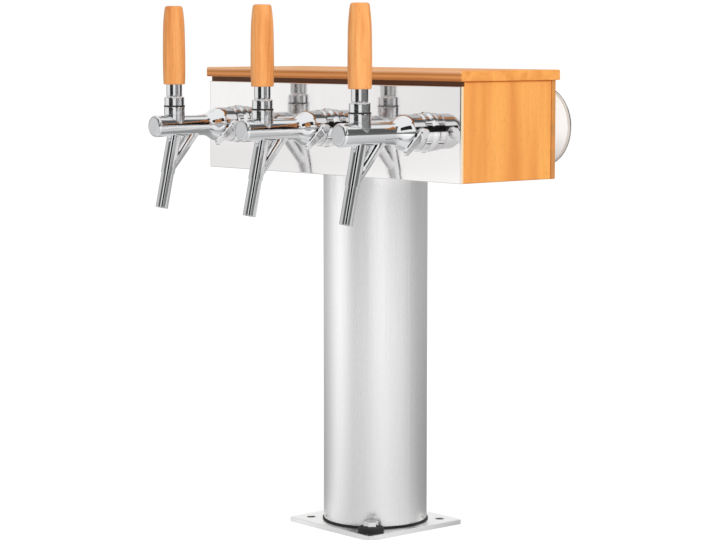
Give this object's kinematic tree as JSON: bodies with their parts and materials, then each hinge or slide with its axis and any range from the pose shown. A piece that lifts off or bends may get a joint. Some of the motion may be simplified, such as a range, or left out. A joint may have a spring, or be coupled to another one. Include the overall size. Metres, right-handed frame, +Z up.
{
  "type": "beer tower dispenser",
  "caption": "T-shaped beer tower: a round steel column on a square base carries a long box head with compensator taps, side regulator levers and round medallions.",
  "frame": {"origin": "centre of the base plate's underside, on the column's axis", "axes": "+X along the head, -Y the tap side, +Y the guests' side with the medallions, +Z up along the column"},
  "size_m": [0.386, 0.2615, 0.52],
  "materials": {
    "brushed_column": "satin stainless steel, brushed along the column",
    "polished_steel": "mirror-polished stainless steel sheet",
    "steel_plate": "satin stainless steel plate",
    "chrome": "polished chrome over brass",
    "steel_fastener": "plain zinc-plated steel",
    "panel_wood": "oiled beech, fine grain",
    "grip_wood": "turned beech, satin lacquer",
    "black_rubber": "matt black rubber",
    "seal_rubber": "food-grade nitrile",
    "drum_white": "glossy white plastic",
    "lens_opal": "opal acrylic",
    "board_green": "circuit board lacquer",
    "hose_clear": "beer hose, translucent polyethylene",
    "lead_black": "black two-core lead",
    "valve_plastic": "white acetal"
  },
  "bodies": {
    "frame": {"back_board": "panel_wood", "base_bolt": "chrome", "base_plate": "steel_plate", "base_washer": "black_rubber", "beer_hose_1": "hose_clear", "beer_hose_2": "hose_clear", "beer_hose_3": "hose_clear", "column_flange": "steel_plate", "column_tube": "brushed_column", "column_weld": "steel_plate", "coupling_nuts": "chrome", "end_panel_left": "panel_wood", "end_panel_right": "panel_wood", "flange_screws": "steel_fastener", "front_caps": "chrome", "head_shell": "polished_steel", "light_leads": "lead_black", "medallion_housings": "drum_white", "medallion_lenses": "lens_opal", "medallion_light_boards": "board_green", "medallion_nuts": "steel_fastener", "medallion_rims": "chrome", "panel_screws": "steel_fastener", "pivot_pins": "chrome", "shank_nuts": "steel_fastener", "shanks": "chrome", "tap_1_body": "chrome", "tap_1_bonnet": "chrome", "tap_1_spout": "chrome", "tap_2_body": "chrome", "tap_2_bonnet": "chrome", "tap_2_spout": "chrome", "tap_3_body": "chrome", "tap_3_bonnet": "chrome", "tap_3_spout": "chrome", "top_plate": "panel_wood", "top_screws": "steel_fastener", "wall_flanges": "chrome"},
    "handle_1": {"tap_1_lever": "chrome", "tap_1_grip": "grip_wood"},
    "plunger_1": {"tap_1_plunger": "chrome", "tap_1_seals": "seal_rubber"},
    "regulator_1": {"tap_1_regulator_lever": "chrome"},
    "cone_1": {"tap_1_regulator_cone": "valve_plastic"},
    "handle_2": {"tap_2_lever": "chrome", "tap_2_grip": "grip_wood"},
    "plunger_2": {"tap_2_plunger": "chrome", "tap_2_seals": "seal_rubber"},
    "regulator_2": {"tap_2_regulator_lever": "chrome"},
    "cone_2": {"tap_2_regulator_cone": "valve_plastic"},
    "handle_3": {"tap_3_lever": "chrome", "tap_3_grip": "grip_wood"},
    "plunger_3": {"tap_3_plunger": "chrome", "tap_3_seals": "seal_rubber"},
    "regulator_3": {"tap_3_regulator_lever": "chrome"},
    "cone_3": {"tap_3_regulator_cone": "valve_plastic"}
  },
  "joints": [
    {"name": "tap_1_handle", "type": "hinge", "parent": "frame", "child": "handle_1", "pos_m": [-0.1418, -0.1432, 0.416], "axis": [1, 0, 0], "range_deg": [0, 35]},
    {"name": "tap_1_valve", "type": "slide", "parent": "frame", "child": "plunger_1", "axis": [0, 1, 0], "range_m": [0, 0.0065]},
    {"name": "tap_1_flow", "type": "hinge", "parent": "frame", "child": "regulator_1", "pos_m": [-0.1418, -0.082, 0.401], "axis": [1, 0, 0], "range_deg": [-40, 45]},
    {"name": "tap_1_cone", "type": "slide", "parent": "frame", "child": "cone_1", "axis": [0, -1, 0], "range_m": [-0.0021, 0.0023]},
    {"name": "tap_2_handle", "type": "hinge", "parent": "frame", "child": "handle_2", "pos_m": [0, -0.1432, 0.416], "axis": [1, 0, 0], "range_deg": [0, 35]},
    {"name": "tap_2_valve", "type": "slide", "parent": "frame", "child": "plunger_2", "axis": [0, 1, 0], "range_m": [0, 0.0065]},
    {"name": "tap_2_flow", "type": "hinge", "parent": "frame", "child": "regulator_2", "pos_m": [0, -0.082, 0.401], "axis": [1, 0, 0], "range_deg": [-40, 45]},
    {"name": "tap_2_cone", "type": "slide", "parent": "frame", "child": "cone_2", "axis": [0, -1, 0], "range_m": [-0.0021, 0.0023]},
    {"name": "tap_3_handle", "type": "hinge", "parent": "frame", "child": "handle_3", "pos_m": [0.1418, -0.1432, 0.416], "axis": [1, 0, 0], "range_deg": [0, 35]},
    {"name": "tap_3_valve", "type": "slide", "parent": "frame", "child": "plunger_3", "axis": [0, 1, 0], "range_m": [0, 0.0065]},
    {"name": "tap_3_flow", "type": "hinge", "parent": "frame", "child": "regulator_3", "pos_m": [0.1418, -0.082, 0.401], "axis": [1, 0, 0], "range_deg": [-40, 45]},
    {"name": "tap_3_cone", "type": "slide", "parent": "frame", "child": "cone_3", "axis": [0, -1, 0], "range_m": [-0.0021, 0.0023]}
  ],
  "couplings": [
    {"joint": "tap_1_valve", "follows": "tap_1_handle", "m_per_rad": 0.0105},
    {"joint": "tap_1_cone", "follows": "tap_1_flow", "m_per_rad": 0.0028},
    {"joint": "tap_2_valve", "follows": "tap_2_handle", "m_per_rad": 0.0105},
    {"joint": "tap_2_cone", "follows": "tap_2_flow", "m_per_rad": 0.0028},
    {"joint": "tap_3_valve", "follows": "tap_3_handle", "m_per_rad": 0.0105},
    {"joint": "tap_3_cone", "follows": "tap_3_flow", "m_per_rad": 0.0028}
  ]
}
